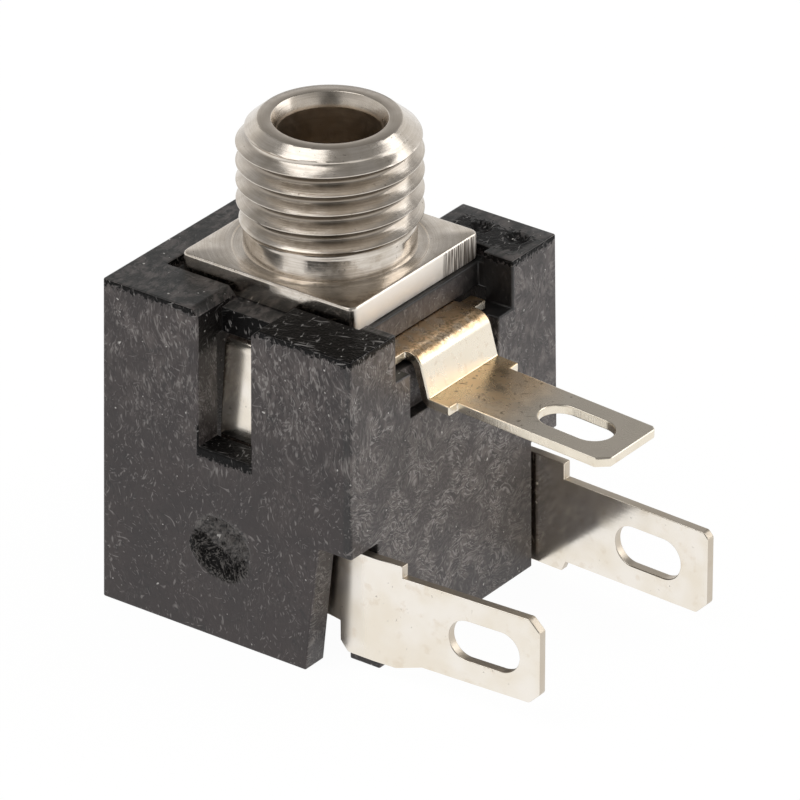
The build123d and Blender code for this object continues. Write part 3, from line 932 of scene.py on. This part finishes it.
def make_floor():
    """A white floor that stays white to the camera and in the metal, and keeps a faint shadow."""
    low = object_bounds()[0].z
    corners = [(x * FLOOR_REACH, y * FLOOR_REACH, low) for x, y in ((-1, -1), (1, -1), (1, 1), (-1, 1))]
    mesh = bpy.data.meshes.new("floor")
    mesh.from_pydata(corners, [], [(0, 1, 2, 3)])
    floor_piece = bpy.data.objects.new("floor", mesh)
    bpy.context.scene.collection.objects.link(floor_piece)
    material = bpy.data.materials.new("white_floor")
    material.use_nodes = True
    tree = material.node_tree
    tree.nodes.clear()
    rays = add(tree, "LightPath").node.outputs
    seen = most(tree, rays["Is Camera Ray"], rays["Is Transmission Ray"], rays["Is Glossy Ray"])
    matt = add(tree, "BsdfDiffuse", linear("F2F2F2"))
    white = add(tree, "Emission", linear("FFFFFF"), WHITE_STRENGTH)
    add(tree, "OutputMaterial", add(tree, "MixShader", product(tree, seen, WHITE_SHARE), matt, white))
    mesh.materials.append(material)


def make_world():
    """White behind the object, and round it a bright horizon under a greyer studio ceiling."""
    world = bpy.data.worlds.new("studio")
    bpy.context.scene.world = world
    world.use_nodes = True
    tree = world.node_tree
    tree.nodes.clear()
    way = add(tree, "TexCoord").node.outputs["Generated"]
    sky = add(tree, "ValToRGB", add(tree, "SeparateXYZ", way).node.outputs["Z"])
    stops = sky.node.color_ramp.elements
    stops[0].position, stops[0].color = SKY[0]
    stops[1].position, stops[1].color = SKY[-1]
    for height, light in SKY[1:-1]:
        stops.new(height).color = light
    azimuth = radians(CAMERA_AZIMUTH)
    dark = (sin(azimuth), -cos(azimuth), DARK_RISE)
    near = add(tree, "VectorMath", way, dark, operation="DOT_PRODUCT")
    shade = add(tree, "MapRange", near, *DARK_NEAR, 1.0, DARK_LIGHT, **SMOOTH)
    rays = add(tree, "LightPath").node.outputs
    seen = most(tree, rays["Is Camera Ray"], rays["Is Transmission Ray"])
    round_about = add(tree, "Background", sky, shade)
    behind = add(tree, "Background", linear("FFFFFF"), 1.0)
    add(tree, "OutputWorld", add(tree, "MixShader", seen, round_about, behind))


def soft_light(name, way, power):
    """A square soft light that looks at the object from the given direction."""
    lamp = bpy.data.lights.new(name, "AREA")
    lamp.size = LAMP_SIZE
    lamp.energy = power
    light = bpy.data.objects.new(name, lamp)
    light.location = Vector(way).normalized() * LAMP_DISTANCE
    light.rotation_euler = Vector(way).to_track_quat("Z", "Y").to_euler()
    bpy.context.scene.collection.objects.link(light)


def make_camera():
    """The photograph's viewpoint."""
    camera = bpy.data.objects.new("camera", bpy.data.cameras.new("camera"))
    camera.data.lens = LENS
    camera.data.sensor_width = SENSOR
    camera.data.clip_start = 0.01
    camera.location = metres(*CAMERA_AT)
    camera.rotation_euler = (radians(90 - CAMERA_ELEVATION), 0, radians(CAMERA_AZIMUTH))
    bpy.context.scene.collection.objects.link(camera)
    bpy.context.scene.camera = camera


bpy.context.scene.view_settings.view_transform = "Standard"
make_camera()
make_world()
make_floor()
soft_light("key_softbox", way=(-0.2, -0.45, 0.85), power=0.8)
soft_light("back_softbox", way=(0.55, 0.65, 0.42), power=0.88)

nylon = glass_filled_nylon()
nickel = nickel_plate()
bright_tin = tinned_strip()
old_tin = tarnished_strip()

housing_scars = [((0, -1, 0), GATE, GATE_HALF, GATE_CUTS, gate_depth)]
for x, y in EJECTORS:
    housing_scars.append(((0, 0, 1), (x, y, TOP_Z), EJECTOR_HALF, EJECTOR_CUTS, ejector_depth))
make_bush(nickel)
refined("housing", "root", nylon, radius=0.06, scars=housing_scars)
refined("sleeve_terminal", "root", old_tin, radius=0.055)
refined("tip_terminal", "root", bright_tin, radius=0.035)
refined("ring_terminal", "root", bright_tin, radius=0.035)
refined("tip_blade", "tip_blade", bright_tin, radius=0.03)
refined("ring_blade", "ring_blade", bright_tin, radius=0.03)
